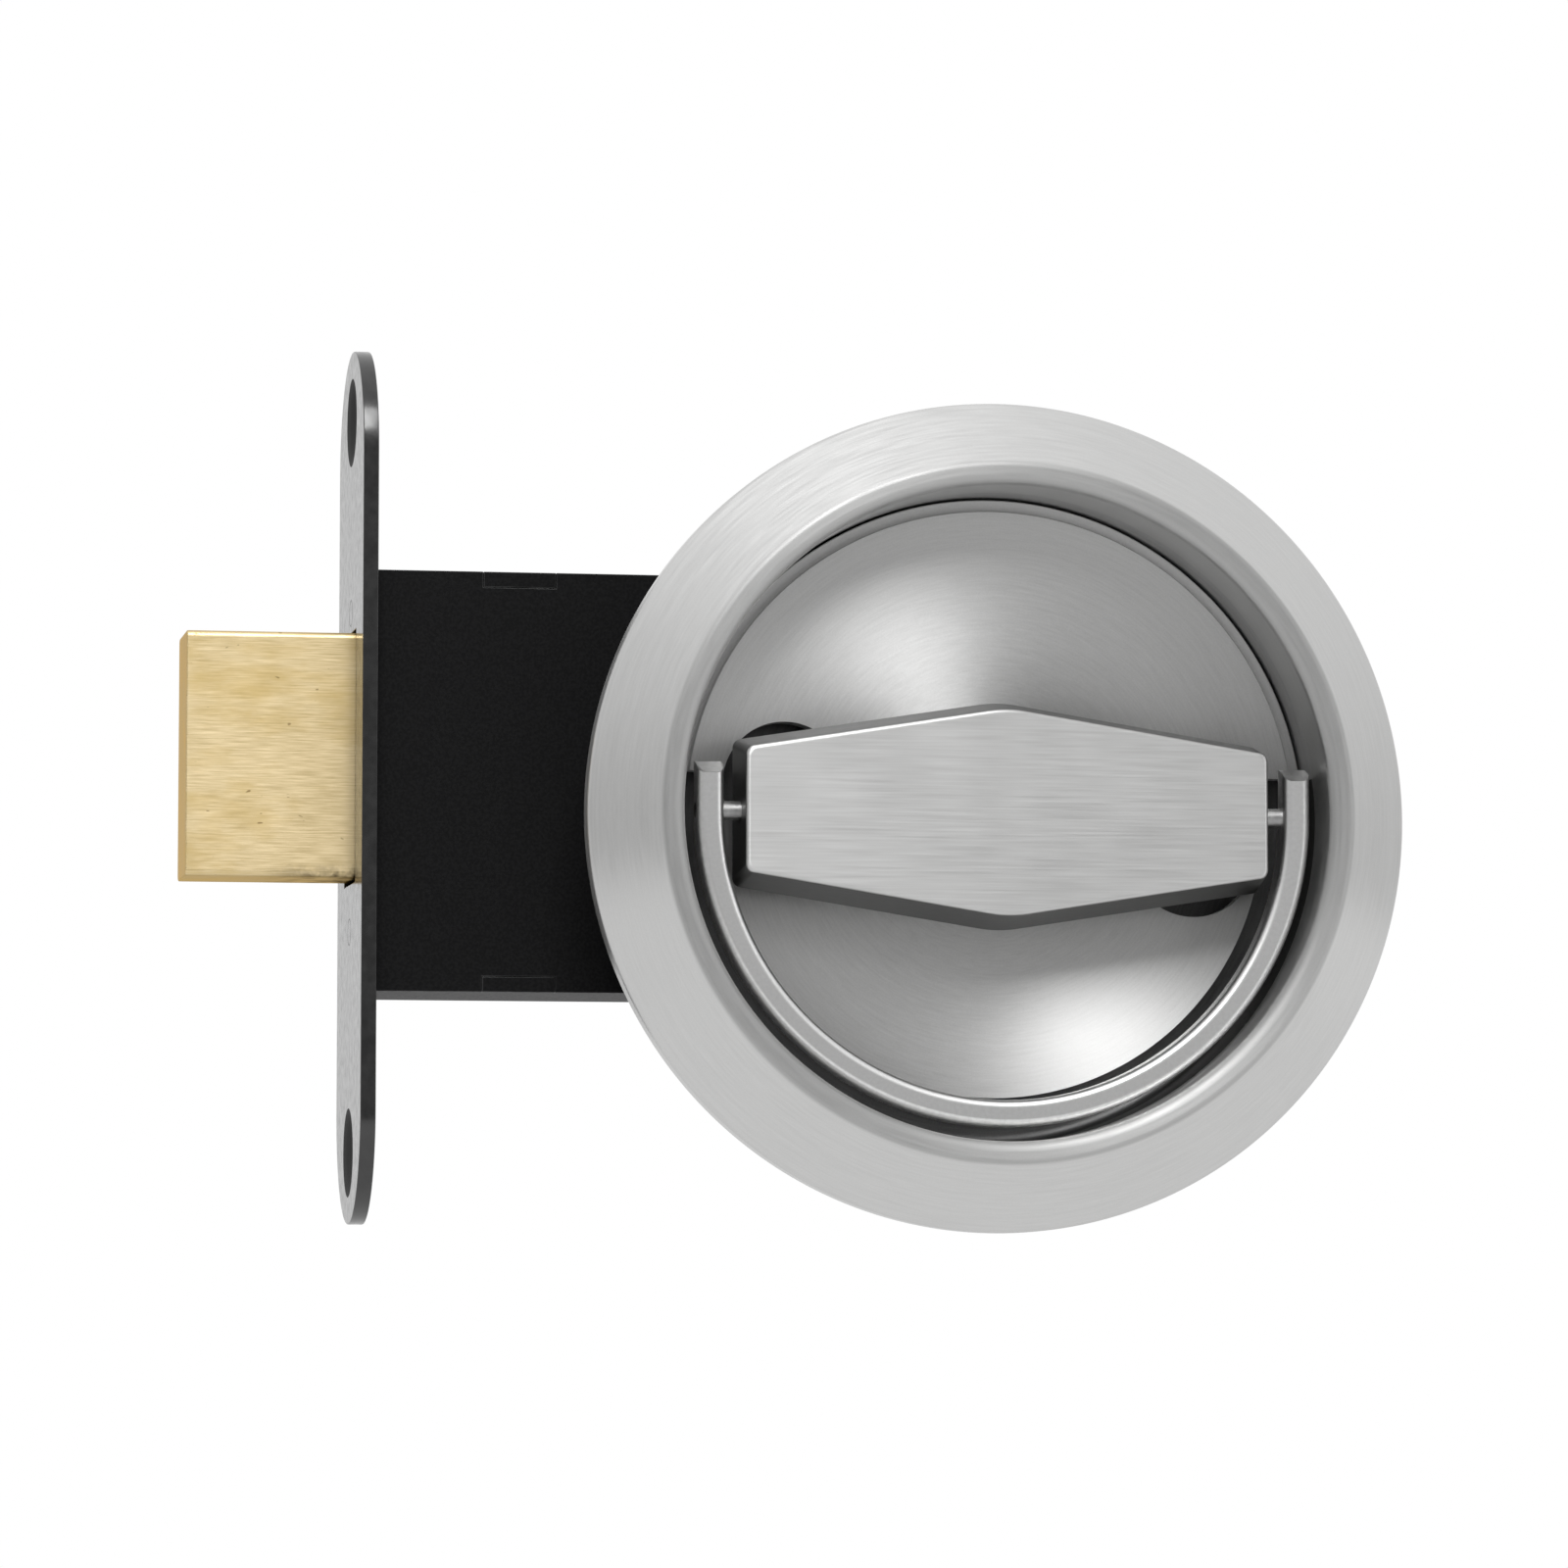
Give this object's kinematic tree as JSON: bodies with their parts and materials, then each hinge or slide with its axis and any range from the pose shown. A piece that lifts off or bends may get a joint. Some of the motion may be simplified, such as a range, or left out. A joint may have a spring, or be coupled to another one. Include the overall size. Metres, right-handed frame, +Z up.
{
  "type": "flush ring pull with deadbolt case",
  "caption": "Round flush pull with a fold-out bail on a turning bar that withdraws a square deadbolt through a round-ended face plate.",
  "frame": {"origin": "where the spindle axis meets the door face, on the plane of the ring's back", "axes": "+X along the door face away from the bolt, +Y into the door, +Z up"},
  "size_m": [0.1165, 0.0419, 0.0871],
  "materials": {
    "satin_steel": "satin, blasted fine",
    "spun_steel": "brushed in circles",
    "satin_bar": "brushed lengthwise",
    "bail_steel": "satin, edges polished",
    "dark_steel": "dull pressed steel",
    "zinc_steel": "zinc plated",
    "spring_steel": "blued spring steel",
    "black_screw": "black oxide",
    "black_paint": "fine-textured black powder coat",
    "black_gloss": "smooth black enamel",
    "brass": "milled, lightly stained",
    "nylon": "natural moulded"
  },
  "bodies": {
    "lock": {"rose_ring": "satin_steel", "ring_screws": "zinc_steel", "rose_cup": "dark_steel", "hub_bush": "nylon", "dish": "spun_steel", "dish_posts": "zinc_steel", "fixing_screws": "black_screw", "case_body": "black_paint", "case_cover": "black_paint", "case_pillars": "zinc_steel", "guide_post": "zinc_steel", "face_plate": "black_gloss", "plate_rivets": "black_gloss", "detent_spring": "spring_steel", "spring_post": "zinc_steel"},
    "handle": {"turn_bar": "satin_bar", "hub_washer": "zinc_steel", "hub_circlip": "spring_steel", "spindle": "zinc_steel", "cross_pin": "zinc_steel", "follower": "zinc_steel"},
    "bail": {"bail": "bail_steel", "pivot_pins": "bail_steel"},
    "bolt": {"bolt_head": "brass", "bolt_tail": "zinc_steel", "tail_rivets": "brass"}
  },
  "joints": [
    {"name": "turn", "type": "hinge", "parent": "lock", "child": "handle", "pos_m": [0, 0, 0], "axis": [0, 1, 0], "range_deg": [0, 90]},
    {"name": "bail_fold", "type": "hinge", "parent": "handle", "child": "bail", "pos_m": [0, -0.0042, 0], "axis": [-1, 0, 0], "range_deg": [0, 90]},
    {"name": "bolt_slide", "type": "slide", "parent": "lock", "child": "bolt", "axis": [1, 0, 0], "range_m": [0, 0.0165], "deforming": ["detent_spring"]}
  ],
  "couplings": [
    {"joint": "bolt_slide", "follows": "turn", "m_per_rad": 0.010504}
  ]
}
